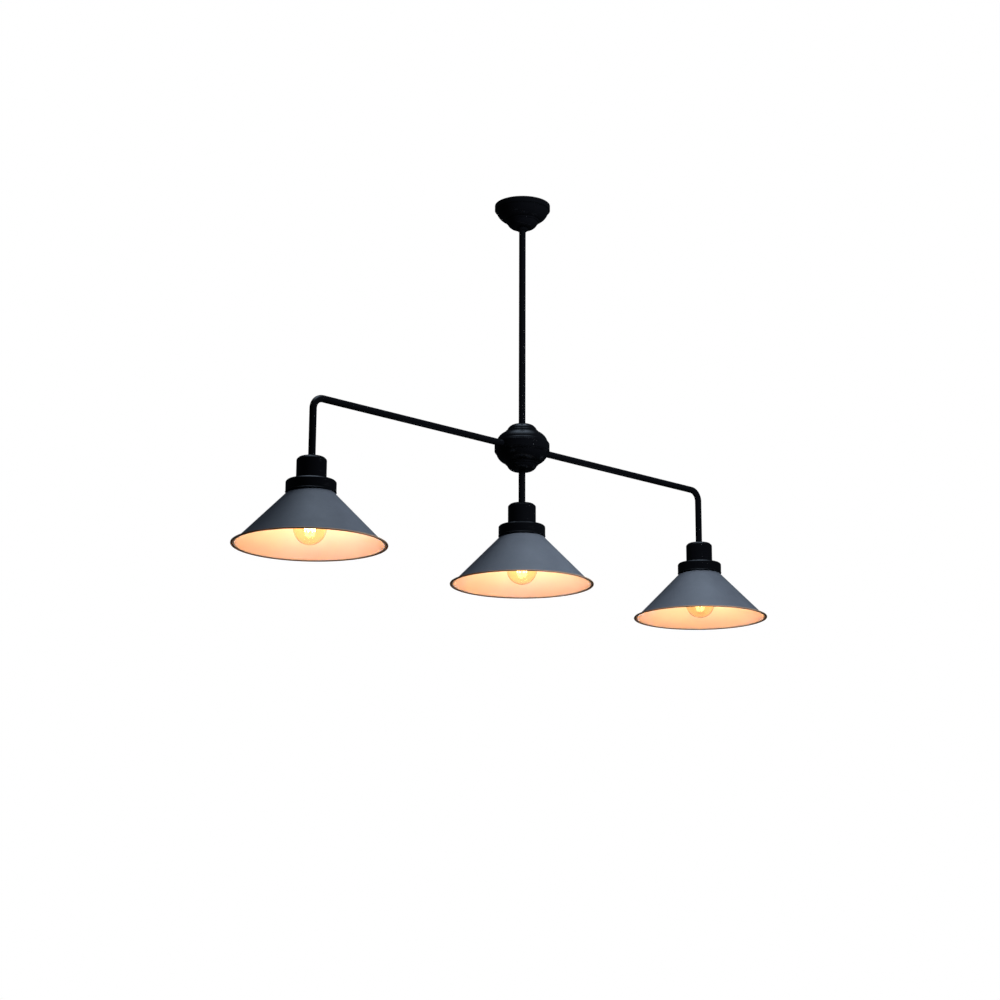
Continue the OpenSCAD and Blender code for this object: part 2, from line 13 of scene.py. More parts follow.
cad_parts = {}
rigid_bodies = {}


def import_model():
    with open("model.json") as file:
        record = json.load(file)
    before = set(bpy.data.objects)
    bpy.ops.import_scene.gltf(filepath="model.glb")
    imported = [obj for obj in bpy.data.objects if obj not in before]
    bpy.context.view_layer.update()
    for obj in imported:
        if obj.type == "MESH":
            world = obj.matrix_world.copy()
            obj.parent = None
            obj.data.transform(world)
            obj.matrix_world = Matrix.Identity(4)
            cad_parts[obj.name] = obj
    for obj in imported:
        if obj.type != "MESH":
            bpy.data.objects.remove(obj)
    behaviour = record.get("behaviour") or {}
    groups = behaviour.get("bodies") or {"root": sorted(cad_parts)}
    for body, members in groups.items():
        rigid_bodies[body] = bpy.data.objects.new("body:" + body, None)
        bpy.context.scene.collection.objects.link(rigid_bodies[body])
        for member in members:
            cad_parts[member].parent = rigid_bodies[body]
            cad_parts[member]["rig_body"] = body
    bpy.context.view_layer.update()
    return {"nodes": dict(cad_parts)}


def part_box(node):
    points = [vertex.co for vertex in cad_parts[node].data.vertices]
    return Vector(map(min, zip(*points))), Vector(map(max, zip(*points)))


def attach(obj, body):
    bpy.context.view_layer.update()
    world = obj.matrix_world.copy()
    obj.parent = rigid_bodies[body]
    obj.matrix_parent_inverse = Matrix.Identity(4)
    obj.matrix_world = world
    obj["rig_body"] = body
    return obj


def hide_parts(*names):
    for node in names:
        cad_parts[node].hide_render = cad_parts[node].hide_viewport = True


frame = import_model()

MM = 0.001
TAU = 2 * math.pi
LAMPS = ("left", "centre", "right")


def middle(node):
    """Centre of a CAD node's box."""
    low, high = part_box(node)
    return (low + high) / 2


def radius(node):
    """Half of a CAD node's width along Y, which is its radius if it is round."""
    low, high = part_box(node)
    return (high.y - low.y) / 2


def base(node):
    """Height of a CAD node's lowest point."""
    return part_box(node)[0].z


def top(node):
    """Height of a CAD node's highest point."""
    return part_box(node)[1].z


RIM_Z = base("shade_centre")
SHADE_R = radius("shade_centre")
HUB_Z = middle("hub_band").z
TUBE_R = radius("stem_tube")
LAMP_X = {n: middle("shade_" + n).x for n in LAMPS}

# Sizes that the boxes don't give and that several places need.
TUBE_BORE = 5.05 * MM         # radius inside the tubes
TUBE_AROUND = 48              # points round a tube
HOLDER_HOLE = 20.5 * MM       # radius of the hole in a shade and its cap, for the lampholder
BULB_PITCH = 3.63 * MM        # of the thread on a bulb's cap and in its shell


# ---------------------------------------------------------------- camera

# The view that the object is matched to: below the shades, turned past the left lamp.
CAMERA_AZIMUTH = 43.515       # degrees from straight on, to the left lamp's side
CAMERA_BELOW = 11.172         # degrees below the shades' rims
CAMERA_DISTANCE = 14.255      # in shade diameters, from the middle rim's centre
CAMERA_YAW = 42.885           # where it looks: azimuth, rise and roll, in degrees
CAMERA_PITCH = 13.551
CAMERA_ROLL = 0.247
CAMERA_LENS = 73.848          # focal length and sensor width, in millimetres
CAMERA_SENSOR = 36
CAMERA_CLIP = (0.05, 60)


def heading(azimuth, rise):
    """Unit vector at an azimuth from +Y towards +X and a rise over level, in degrees."""
    a, e = math.radians(azimuth), math.radians(rise)
    return Vector((math.sin(a) * math.cos(e), math.cos(a) * math.cos(e), math.sin(e)))


def make_camera():
    """The camera that looks from the photograph's place."""
    towards = heading(CAMERA_AZIMUTH, CAMERA_BELOW)
    ahead = heading(CAMERA_YAW, CAMERA_PITCH)
    level = heading(CAMERA_YAW + 90, 0)
    roll = math.radians(CAMERA_ROLL)
    right = level * math.cos(roll) + level.cross(ahead) * math.sin(roll)
    up = right.cross(ahead)
    data = bpy.data.cameras.new("camera")
    data.lens = CAMERA_LENS
    data.sensor_width = CAMERA_SENSOR
    data.clip_start, data.clip_end = CAMERA_CLIP
    camera = bpy.data.objects.new("camera", data)
    camera.location = Vector((0, 0, RIM_Z)) - towards * CAMERA_DISTANCE * 2 * SHADE_R
    camera.rotation_euler = Matrix((right, up, -ahead)).transposed().to_euler()
    bpy.context.scene.collection.objects.link(camera)
    bpy.context.scene.camera = camera


make_camera()


# ---------------------------------------------------------------- materials

NOISE_LOW, NOISE_HIGH = 0.3, 0.7      # most of a noise texture's values lie between these
PEEL_SIZE = 0.0011                    # grain of powder coat and of mouldings, in metres
MOULD_GRAIN = 0.0009
COAT_TONE = 0.14                      # how far a tone strays, as a share of the colour
METAL_TONE = 0.1


class Nodes:
    """A material's node tree, with a short way to add and join nodes."""

    def __init__(self, name):
        self.material = bpy.data.materials.new(name)
        self.material.use_nodes = True
        self.tree = self.material.node_tree
        self.shader = self.tree.nodes["Principled BSDF"]

    def add(self, kind, inputs=None, **settings):
        node = self.tree.nodes.new(kind)
        for key, value in settings.items():
            setattr(node, key, value)
        for key, value in (inputs or {}).items():
            if isinstance(value, bpy.types.NodeSocket):
                self.tree.links.new(value, node.inputs[key])
            else:
                node.inputs[key].default_value = value
        return node

    def set(self, **values):
        """Values or links on the shader; a name's underscores stand for spaces."""
        for key, value in values.items():
            socket = self.shader.inputs[key.replace("_", " ")]
            if isinstance(value, bpy.types.NodeSocket):
                self.tree.links.new(value, socket)
            else:
                socket.default_value = value

    def place(self):
        return self.add("ShaderNodeTexCoord").outputs["Object"]

    def noise(self, scale, detail=3.0, roughness=0.5, vector=None):
        return self.add(
            "ShaderNodeTexNoise",
            {"Vector": vector or self.place(), "Scale": scale, "Detail": detail, "Roughness": roughness},
        ).outputs["Fac"]

    def ramp(self, factor, stops):
        """A colour ramp with (position, colour) stops."""
        node = self.add("ShaderNodeValToRGB", {"Fac": factor})
        elements = node.color_ramp.elements
        while len(elements) < len(stops):
            elements.new(0.5)
        for element, (position, colour) in zip(elements, stops):
            element.position = position
            element.color = (*colour, 1)
        return node.outputs["Color"]

    def spread(self, factor, low, high):
        """factor's middle stretch, NOISE_LOW..NOISE_HIGH, carried over to low..high."""
        return self.add(
            "ShaderNodeMapRange",
            {"Value": factor, "From Min": NOISE_LOW, "From Max": NOISE_HIGH, "To Min": low, "To Max": high},
        ).outputs["Result"]

    def math(self, operation, a, b=0.0):
        return self.add("ShaderNodeMath", {0: a, 1: b}, operation=operation).outputs["Value"]

    def bump(self, height, depth, strength, normal=None):
        inputs = {"Height": height, "Distance": depth, "Strength": strength}
        if normal is not None:
            inputs["Normal"] = normal
        return self.add("ShaderNodeBump", inputs).outputs["Normal"]

    def rings(self, pitch):
        """A wave from 0 to 1 that repeats each pitch outward from the piece's own Z axis."""
        parts = self.add("ShaderNodeSeparateXYZ", {"Vector": self.place()}).outputs
        flat = self.math("SQRT", self.math("ADD", self.math("POWER", parts["X"], 2.0),
                                           self.math("POWER", parts["Y"], 2.0)))
        wave = self.math("SINE", self.math("MULTIPLY", flat, TAU / pitch))
        return self.math("MULTIPLY_ADD", wave, 0.5)


def shifted(colour, factor):
    return tuple(min(1.0, c * factor) for c in colour)


def coat(name, colour, rough, depth=0.00006, specular=0.5, spun=0.0):
    """Powder coat: orange peel of this depth, cloudy tone and, where spun is given, rings that far apart."""
    n = Nodes(name)
    cloud = n.noise(14.0, 5.0, 0.6)
    speck = n.noise(520.0, 2.0)
    n.set(
        Base_Color=n.ramp(
            n.math("ADD", n.math("MULTIPLY", cloud, 0.7), n.math("MULTIPLY", speck, 0.3)),
            [(0.32, shifted(colour, 1 - COAT_TONE)), (0.68, shifted(colour, 1 + COAT_TONE))],
        ),
        Roughness=n.spread(n.noise(33.0, 4.0, 0.6), rough - 0.05, rough + 0.06),
        Specular_IOR_Level=specular,
    )
    peel = n.bump(n.noise(1 / PEEL_SIZE, 2.0), depth, 0.5)
    if spun:
        peel = n.bump(n.rings(spun), 0.00002, 0.6, peel)
    n.set(Normal=peel)
    return n.material


def enamel(name, colour):
    """White vitreous enamel: nearly smooth, a long slow ripple and a few pin-point specks."""
    n = Nodes(name)
    n.set(
        Base_Color=n.ramp(
            n.noise(26.0, 4.0, 0.55),
            [(0.3, shifted(colour, 0.965)), (0.7, colour)],
        ),
        Roughness=n.spread(n.noise(60.0, 3.0), 0.30, 0.40),
        Specular_IOR_Level=0.5,
        Normal=n.bump(n.noise(140.0, 2.0), 0.00012, 0.35),
    )
    return n.material


def metal(name, colour, rough, streak=1.0, metallic=1.0):
    """Bare or plated metal, with grain drawn out along Y and Z where streak is under 1. Dull plating is
    less metallic, so that it still shows where the surround it would mirror is dark."""
    n = Nodes(name)
    stretched = n.add(
        "ShaderNodeMapping", {"Vector": n.place(), "Scale": (1.0, streak, streak)}
    ).outputs["Vector"]
    grain = n.noise(900.0, 3.0, 0.6, stretched)
    n.set(
        Base_Color=n.ramp(
            n.noise(60.0, 5.0, 0.65), [(0.3, shifted(colour, 1 - METAL_TONE)), (0.7, colour)]
        ),
        Metallic=metallic,
        Roughness=n.spread(grain, rough - 0.07, rough + 0.09),
        Normal=n.bump(grain, 0.00002, 0.5),
    )
    return n.material


def plastic(name, colour, rough, tone=0.1):
    """Moulded plastic or ceramic: fine grain and a slight mottle."""
    n = Nodes(name)
    n.set(
        Base_Color=n.ramp(
            n.noise(80.0, 5.0, 0.6), [(0.3, shifted(colour, 1 - tone)), (0.7, shifted(colour, 1 + tone))]
        ),
        Roughness=n.spread(n.noise(140.0, 3.0), rough - 0.05, rough + 0.07),
        Specular_IOR_Level=0.5,
        Normal=n.bump(n.noise(1 / MOULD_GRAIN, 2.0), 0.00004, 0.4),
    )
    return n.material


def clear_glass(name, colour):
    """Blown glass with a faint warm tint and slow waves in its walls."""
    n = Nodes(name)
    n.set(
        Base_Color=n.ramp(n.noise(30.0, 2.0), [(0.3, colour), (0.7, shifted(colour, 1.02))]),
        Roughness=n.spread(n.noise(50.0, 2.0), 0.0, 0.02),
        IOR=1.5,
        Transmission_Weight=1.0,
        Normal=n.bump(n.noise(45.0, 1.0), 0.0002, 0.15),
    )
    return n.material


def glowing(name, colour, strength):
    """A lit filament: a little hotter in some stretches than in others."""
    n = Nodes(name)
    heat = n.ramp(n.noise(260.0, 2.0), [(0.3, shifted(colour, 0.9)), (0.7, colour)])
    n.set(Base_Color=heat, Emission_Color=heat, Emission_Strength=strength, Roughness=0.5)
    return n.material


LOOKS = {
    "black": coat("black_powder_coat", (0.0018, 0.0019, 0.0025), 0.22, depth=0.00003),
    "slate": coat("slate_powder_coat", (0.058, 0.065, 0.079), 0.45, spun=0.0016, specular=0.35),
    # The rim's own colour is a dark brown. It is made lighter and warmer here, as painted light standing in
    # for the bulbs' warm glow on the rim.
    "rim": coat("rim_paint_with_painted_glow", (0.20, 0.135, 0.095), 0.5, specular=0.25),
    "enamel": enamel("white_enamel", (0.92, 0.90, 0.865)),
    "zinc": metal("zinc_plate", (0.60, 0.61, 0.64), 0.48, 0.08, metallic=0.45),
    "brass": metal("brass", (0.78, 0.58, 0.27), 0.32, 0.3),
    "cap_metal": metal("rolled_cap_metal", (0.74, 0.73, 0.71), 0.30),
    "phenolic": plastic("phenolic", (0.022, 0.020, 0.020), 0.38),
    "porcelain": plastic("porcelain", (0.80, 0.79, 0.75), 0.42, tone=0.04),
    "terminal": plastic("terminal_plastic", (0.78, 0.77, 0.72), 0.40, tone=0.04),
    "sleeve": plastic("wire_sleeve", (0.62, 0.57, 0.48), 0.42),
    "earth": plastic("earth_sleeve", (0.24, 0.42, 0.06), 0.42),
    "vitrite": plastic("dark_insulator", (0.030, 0.024, 0.030), 0.25),
    "glass": clear_glass("bulb_glass", (1.0, 0.89, 0.66)),
    "mount_glass": clear_glass("mount_glass", (0.97, 0.95, 0.90)),
    "wire": metal("support_wire", (0.60, 0.58, 0.55), 0.30),
    "filament": glowing("filament", (1.0, 0.80, 0.46), 42.0),
}


# ---------------------------------------------------------------- outlines and meshes

def arc(centre, r, start, end, steps):
    """Points along an arc, angles in degrees, ends included."""
    points = []
    for i in range(steps + 1):
        a = math.radians(start + (end - start) * i / steps)
        points.append((centre[0] + r * math.cos(a), centre[1] + r * math.sin(a)))
    return points


def rounded(corners, steps=5, closed=True):
    """The outline through (radius, height, rounding) corners, with points close beside each rounding
    so that flat stretches keep flat shading."""
    count = len(corners)
    points = []
    for i, (x, z, r) in enumerate(corners):
        here = Vector((x, z))
        at_end = not closed and i in (0, count - 1)
        if r <= 0 or at_end:
            points.append((x, z))
            continue
        back = Vector(corners[i - 1][:2]) - here
        ahead = Vector(corners[(i + 1) % count][:2]) - here
        half = back.angle(ahead) / 2
        reach = min(r / math.tan(half), 0.45 * back.length, 0.45 * ahead.length)
        r = reach * math.tan(half)
        back_way, ahead_way = back.normalized(), ahead.normalized()
        centre = here + (back_way + ahead_way).normalized() * (r / math.sin(half))
        first, last = here + back_way * reach, here + ahead_way * reach
        beside = min(0.3 * r, 0.04 * back.length, 0.04 * ahead.length)
        points.append(tuple(first + back_way * beside))
        spoke, final = first - centre, last - centre
        turn = spoke.angle_signed(final)
        for s in range(steps + 1):
            a = -turn * s / steps
            points.append((
                centre.x + spoke.x * math.cos(a) - spoke.y * math.sin(a),
                centre.y + spoke.x * math.sin(a) + spoke.y * math.cos(a),
            ))
        points.append(tuple(last + ahead_way * beside))
    return points


def finish_mesh(name, mesh, body, material, origin=(0, 0, 0), sharp=50.0):
    """Recalculates normals, smooths all but sharp edges, and makes the object that rides on body."""
    bmesh.ops.remove_doubles(mesh, verts=mesh.verts, dist=1e-6)
    bmesh.ops.recalc_face_normals(mesh, faces=mesh.faces)
    limit = math.radians(sharp)
    for face in mesh.faces:
        face.smooth = True
    for edge in mesh.edges:
        edge.smooth = len(edge.link_faces) != 2 or edge.calc_face_angle() < limit
    data = bpy.data.meshes.new(name)
    mesh.to_mesh(data)
    mesh.free()
    for m in material if isinstance(material, (list, tuple)) else [material]:
        data.materials.append(m)
    piece = bpy.data.objects.new(name, data)
    piece.location = origin
    bpy.context.scene.collection.objects.link(piece)
    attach(piece, body)
    return piece


def lathe(name, outline, body, material, origin, segments, closed=True, paint=None):
    """Turns an outline of (radius, height) points about Z. paint(i) gives stretch i's material."""
    mesh = bmesh.new()
    rings = []
    for r, z in outline:
        if r < 1e-7:
            rings.append([mesh.verts.new((0, 0, z))] * segments)
            continue
        rings.append([
            mesh.verts.new((r * math.cos(TAU * k / segments), r * math.sin(TAU * k / segments), z))
            for k in range(segments)
        ])
    last = len(rings) if closed else len(rings) - 1
    for i in range(last):
        a, b = rings[i], rings[(i + 1) % len(rings)]
        for k in range(segments):
            n = (k + 1) % segments
            corners = []
            for v in (a[k], a[n], b[n], b[k]):     # a point on the axis fills a whole ring
                if v not in corners:
                    corners.append(v)
            if len(corners) > 2:
                face = mesh.faces.new(corners)
                if paint:
                    face.material_index = paint(i)
    return finish_mesh(name, mesh, body, material, origin)


def join_rings(mesh, a, b):
    """A band of faces between two rings of as many points."""
    for k in range(len(a)):
        n = (k + 1) % len(a)
        mesh.faces.new((a[k], a[n], b[n], b[k]))


def grid(name, body, material, origin, around, count, surface):
    """A closed wall round Z. surface(angle, row) gives (radius, height). The last row joins the first."""
    mesh = bmesh.new()
    rows = []
    for j in range(count):
        row = []
        for k in range(around):
            a = TAU * k / around
            r, z = surface(a, j)
            row.append(mesh.verts.new((r * math.cos(a), r * math.sin(a), z)))
        rows.append(row)
    for j in range(count):
        join_rings(mesh, rows[j], rows[(j + 1) % count])
    return finish_mesh(name, mesh, body, material, origin)


def path_frames(path):
    """Tangent, side and up vectors along a path, carried along without twist."""
    tangents = []
    for i, p in enumerate(path):
        before = path[max(i - 1, 0)]
        after = path[min(i + 1, len(path) - 1)]
        tangents.append((after - before).normalized())
    side = tangents[0].orthogonal().normalized()
    frames = []
    for t in tangents:
        side = (side - t * side.dot(t)).normalized()
        frames.append((t, side, t.cross(side)))
    return frames


def sweep(mesh, path, r, around):
    """Rings of points round a path."""
    points = [Vector(p) for p in path]
    rings = []
    for p, (_, side, up) in zip(points, path_frames(points)):
        rings.append([
            mesh.verts.new(p + (side * math.cos(TAU * k / around) + up * math.sin(TAU * k / around)) * r)
            for k in range(around)
        ])
    return rings


def tube(name, path):
    """A black tube along a path: its outer and inner walls, joined at both ends."""
    mesh = bmesh.new()
    outer = sweep(mesh, path, TUBE_R, TUBE_AROUND)
    inner = sweep(mesh, path, TUBE_BORE, TUBE_AROUND)
    loop = outer + inner[::-1]
    for i in range(len(loop)):
        join_rings(mesh, loop[i], loop[(i + 1) % len(loop)])
    return finish_mesh(name, mesh, "fixture", LOOKS["black"])


def wire_mesh(mesh, path, r, around=8):
    """Adds a solid wire along a path to a mesh."""
    rings = sweep(mesh, path, r, around)
    for a, b in zip(rings, rings[1:]):
        join_rings(mesh, a, b)
    mesh.faces.new(rings[0][::-1])
    mesh.faces.new(rings[-1])


def stand_for(piece, slot, *nodes):
    """Hides the CAD nodes that a piece stands in for; piece and slot are not used."""
    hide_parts(*nodes)


# ---------------------------------------------------------------- shades

SHEET = 0.9 * MM
SLOPE = 0.975                 # how far the cone widens for each length that it comes down
NECK = 42.3 * MM              # radius of the neck


def shade(name):
    """Spun cone with a neck, a flat top and a rim rolled round a bead; enamel inside."""
    origin = (LAMP_X[name], 0, RIM_Z)
    height = top("shade_" + name) - RIM_Z
    bead = 1.7 * MM
    foot = SHADE_R - 3.7 * MM
    cone_top = (foot - NECK) / SLOPE
    lip_z = bead + SHEET / 2
    lip = foot - SLOPE * lip_z
    bead_x = SHADE_R - bead
    rise = SHEET * math.hypot(1, SLOPE)
    outside = rounded([
        (HOLDER_HOLE, height, 0),
        (NECK, height, 1.6 * MM),
        (NECK, cone_top, 2.2 * MM),
        (lip, lip_z, 2.4 * MM),
        (bead_x, lip_z, 0),
    ], closed=False)
    roll = arc((bead_x, bead), bead, 75, -195, 27)
    inside = rounded([
        (roll[-1][0], roll[-1][1], 0),
        (bead_x - bead - 0.4 * MM, lip_z - SHEET, 0.3 * MM),
        (lip - rise + SHEET * SLOPE, lip_z - SHEET, 2.0 * MM),
        (NECK - SHEET, cone_top - (rise - SHEET) / SLOPE, 3.0 * MM),
        (NECK - SHEET, height - SHEET, 1.0 * MM),
        (HOLDER_HOLE, height - SHEET, 0),
    ], closed=False)[1:]
    outline = outside[:-1] + roll + inside
    first_roll = len(outside) - 2
    first_inside = len(outside) - 1 + len(roll) - 1

    def paint(i):
        """0 is the outside, 1 the rolled rim and 2 the inside."""
        if i < first_roll:
            return 0
        return 1 if i < first_inside else 2

    piece = lathe("shade_skin_" + name, outline, "fixture", [LOOKS["slate"], LOOKS["rim"], LOOKS["enamel"]],
                  origin, segments=192, paint=paint)
    stand_for(piece, "shade_paint", "shade_" + name)


def shade_cap(name):
    """Wide cap over the shade's neck, with a rolled lip at its lower edge."""
    node = "shade_cap_" + name
    origin = (LAMP_X[name], 0, base(node))
    r = radius(node)
    h = top(node) - base(node)
    wall = 1.5 * MM
    side = r - 0.5 * MM
    groove = side - 0.35 * MM
    inner = r - 1.7 * MM
    lip = 0.8 * MM
    outline = rounded([
        (HOLDER_HOLE, h, 0.3 * MM),
        (side - 2.2 * MM, h, 1.6 * MM),
        (side, h - 2.6 * MM, 1.8 * MM),
        (side, 3.4 * MM, 0.4 * MM),
        (groove, 2.9 * MM, 0.2 * MM),
        (groove, 2.3 * MM, 0.3 * MM),
    ], closed=False)
    outline += arc((r - lip, lip), lip, 62, -140, 12)
    outline += rounded([
        (inner, 1.2 * MM, 0),
        (inner, h - wall, 1.6 * MM),
        (HOLDER_HOLE, h - wall, 0),
    ], closed=False)
    piece = lathe("cap_skin_" + name, outline, "fixture", LOOKS["black"], origin, segments=128)
    stand_for(piece, "black_paint", node)


def socket_cup(name):
    """Narrow drawn cup over the lampholder, with a rounded shoulder and a fine foot bead."""
    node = "socket_cup_" + name
    origin = (LAMP_X[name], 0, base(node))
    r = radius(node)
    h = top(node) - base(node)
    wall = 1.5 * MM
    hole = 5.1 * MM
    outline = rounded([
        (hole, h, 0),
        (9.5 * MM, h, 0.5 * MM),
        (10.2 * MM, h - 0.5 * MM, 0.5 * MM),
        (r - 5 * MM, h - 0.7 * MM, 4 * MM),
        (r - 0.4 * MM, h - 5 * MM, 4 * MM),
        (r - 0.4 * MM, 2.4 * MM, 0.4 * MM),
        (r, 1.8 * MM, 0.4 * MM),
        (r, 0, 0.5 * MM),
        (r - wall, 0, 0.3 * MM),
        (r - wall, h - 4.5 * MM, 2.5 * MM),
        (r - 5.5 * MM, h - wall, 2.5 * MM),
        (hole, h - wall, 0),
    ])
    piece = lathe("cup_skin_" + name, outline, "fixture", LOOKS["black"], origin, segments=112)
    stand_for(piece, "black_paint", node)


# ---------------------------------------------------------------- lampholder

def threaded(r, depth, pitch, z0, z1, angle, z):
    """Radius of a round-topped thread at an angle and height, running out at z0 and z1."""
    wave = 0.5 + 0.5 * math.cos(TAU * (z / pitch - angle / TAU))
    fade = min(1.0, max(0.0, (z - z0) / pitch), max(0.0, (z1 - z) / pitch))
    return r - depth * (1 - wave) * fade


SEAT_DEPTH = 6.2 * MM         # from the shade cap's top down to the seat in the skirt
SKIRT_PITCH = 2.6 * MM


def holder_skirt(name):
    """Moulded skirt with the outer thread that the shade ring runs on."""
    node = "holder_skirt_" + name
    origin = (LAMP_X[name], 0, base(node))
    r, bore, chamber = 20 * MM, 14.6 * MM, 18.2 * MM
    thread_top = top("shade_ring_" + name) - base(node) - 2 * MM
    cap_top = top("shade_cap_" + name) - base(node)
    seat = cap_top - SEAT_DEPTH
    flange_top = cap_top + 3.5 * MM
    neck = 19.6 * MM
    h = top(node) - base(node)
    flange_r = radius(node)
    rows = 72
    walls = [(r, thread_top * j / rows) for j in range(rows + 1)]
    rest = rounded([
        (r, thread_top, 0),
        (r, cap_top, 0),
        (flange_r, cap_top, 0.4 * MM),
        (flange_r, flange_top, 0.6 * MM),
        (neck, flange_top, 0),
        (neck, h, 0.3 * MM),
        (chamber, h, 0),
        (chamber, seat, 0),
        (bore, seat, 0),
        (bore, 0.6 * MM, 0.5 * MM),
        (bore + 0.6 * MM, 0, 0.4 * MM),
        (r - 0.8 * MM, 0, 0.3 * MM),
    ], steps=3, closed=False)[1:]
    outline = walls + rest

    def surface(angle, j):
        rad, z = outline[j]
        if 0 < j <= rows:
            rad = threaded(r, 0.7 * MM, SKIRT_PITCH, 1.5 * MM, thread_top, angle, z)
        elif j == 0:
            rad = r - 0.3 * MM
        return rad, z

    piece = grid("skirt_moulding_" + name, "fixture", LOOKS["phenolic"], origin, 96, len(outline), surface)
    stand_for(piece, "holder_plastic", node)


def shade_ring(name):
    """Ring nut with finger ribs round its flange."""
    node = "shade_ring_" + name
    origin = (LAMP_X[name], 0, base(node))
    h = top(node) - base(node)
    flange, body_r, bore = radius(node), 25 * MM, 20.05 * MM
    outline = rounded([
        (bore, 0, 0.4 * MM),
        (body_r, 0, 0.8 * MM),
        (body_r, h - 3 * MM, 0.4 * MM),
        (flange, h - 3 * MM, 0.5 * MM),
        (flange, h, 0.3 * MM),
        (bore, h, 0),
    ], steps=3)
    ribs = 36

    def surface(angle, j):
        r, z = outline[j]
        if 0.4 * MM < z < h - 3.4 * MM and r > body_r - 1 * MM:
            r -= 0.7 * MM * (0.5 - 0.5 * math.cos(ribs * angle)) ** 2
        return r, z

    piece = grid("ring_nut_" + name, "fixture", LOOKS["phenolic"], origin, ribs * 8, len(outline), surface)
    stand_for(piece, "holder_plastic", node)


def screw_shell(name):
    """Rolled brass shell that the bulb's cap screws into."""
    node = "screw_shell_" + name
    origin = (LAMP_X[name], 0, base(node))
    r_out = radius(node)
    h = top(node) - base(node)
    sheet = 0.45 * MM
    bore = 13.3 * MM
    rows = 70

    def surface(angle, j):
        outside = j <= rows
        z = h * (j if outside else 2 * rows + 1 - j) / rows
        r = threaded(r_out, 0.3 * MM, BULB_PITCH, 1 * MM, h - 1 * MM, angle, z)
        if not outside:
            r = max(r - sheet, bore)
        return r, z

    piece = grid("rolled_shell_" + name, "fixture", LOOKS["brass"], origin, 96, 2 * rows + 2, surface)
    stand_for(piece, "brass", node)


# ---------------------------------------------------------------- bulbs

def bulb_glass(name):
    """Blown globe with a drawn neck, two walls."""
    node = "bulb_glass_" + name
    origin = (LAMP_X[name], 0, base(node))
    r = radius(node)
    h = top(node) - base(node)
    neck = 12.6 * MM
    wall = 0.8 * MM
    turn = 38
    cos_turn = math.cos(math.radians(turn))
    shoulder = (r * cos_turn - neck) / (1 - cos_turn)
    shoulder_z = r + (r + shoulder) * math.sin(math.radians(turn))

    def outline(inset):
        globe = arc((0, r), r - inset, -90, turn, 44)
        drawn = arc((neck + shoulder, shoulder_z), shoulder + inset, 180 + turn, 180, 16)[1:]
        return [(0.0, inset)] + globe[1:] + drawn + [(neck - inset, h)]

    profile = outline(0) + outline(wall)[::-1]
    piece = lathe("globe_" + name, profile, "bulb_" + name, LOOKS["glass"], origin, segments=96,
                  closed=False)
    piece.visible_shadow = False
    stand_for(piece, "bulb_glass", node)


def bulb_base(name):
    """Rolled screw cap, its thread one helix."""
    node = "bulb_base_" + name
    origin = (LAMP_X[name], 0, base(node))
    r = radius(node)
    h = top(node) - base(node)
    rows = 76
    bore = 12.3 * MM
    bore_rows = 6
    shoulder = [(11.7 * MM, h - 0.9 * MM), (10.9 * MM, h - 0.2 * MM), (10.2 * MM, h), (9 * MM, h),
                (9 * MM, h - 0.6 * MM), (11.0 * MM, h - 1.2 * MM)]

    def surface(angle, j):
        if j <= rows:
            z = (h - 1.8 * MM) * j / rows
            return threaded(r, 0.55 * MM, BULB_PITCH, 1.5 * MM, h - 3.5 * MM, angle, z), z
        j -= rows + 1
        if j < len(shoulder):
            return shoulder[j]
        return bore, (h - 2.6 * MM) * (1 - (j - len(shoulder)) / (bore_rows - 1))

    piece = grid("screw_cap_" + name, "bulb_" + name, LOOKS["cap_metal"], origin, 96,
                 rows + 1 + len(shoulder) + bore_rows, surface)
    stand_for(piece, "bulb_metal", node)


def bulb_contact(name):
    """Dark glass insulator under a domed contact button."""
    node = "bulb_contact_" + name
    origin = (LAMP_X[name], 0, base(node))
    h = top(node) - base(node)
    cone = 2.4 * MM
    outline = rounded([
        (0, 0, 0),
        (10.9 * MM, 0, 0.3 * MM),
        (6.2 * MM, cone, 0.8 * MM),
        (4.7 * MM, cone, 0.2 * MM),
        (4.6 * MM, h - 0.5 * MM, 0.5 * MM),
        (2.5 * MM, h - 0.05 * MM, 0.8 * MM),
        (0, h, 0),
    ], closed=False)
    button = next(i for i, p in enumerate(outline) if p[0] < 4.75 * MM and i > 2)
    piece = lathe("insulator_" + name, outline, "bulb_travel_" + name,
                  [LOOKS["vitrite"], LOOKS["cap_metal"]], origin, segments=64, closed=False,
                  paint=lambda i: 1 if i >= button else 0)
    stand_for(piece, "bulb_insulator", node)


CAGE_R = 9.6 * MM
CAGE_LOW, CAGE_HIGH = 1.2 * MM, 30 * MM
FILAMENT_RUNS = 16            # up and down round the cage
FILAMENT_R = 0.45 * MM
HOOK_SHARE = 0.16             # of a run's width, either side of a hook


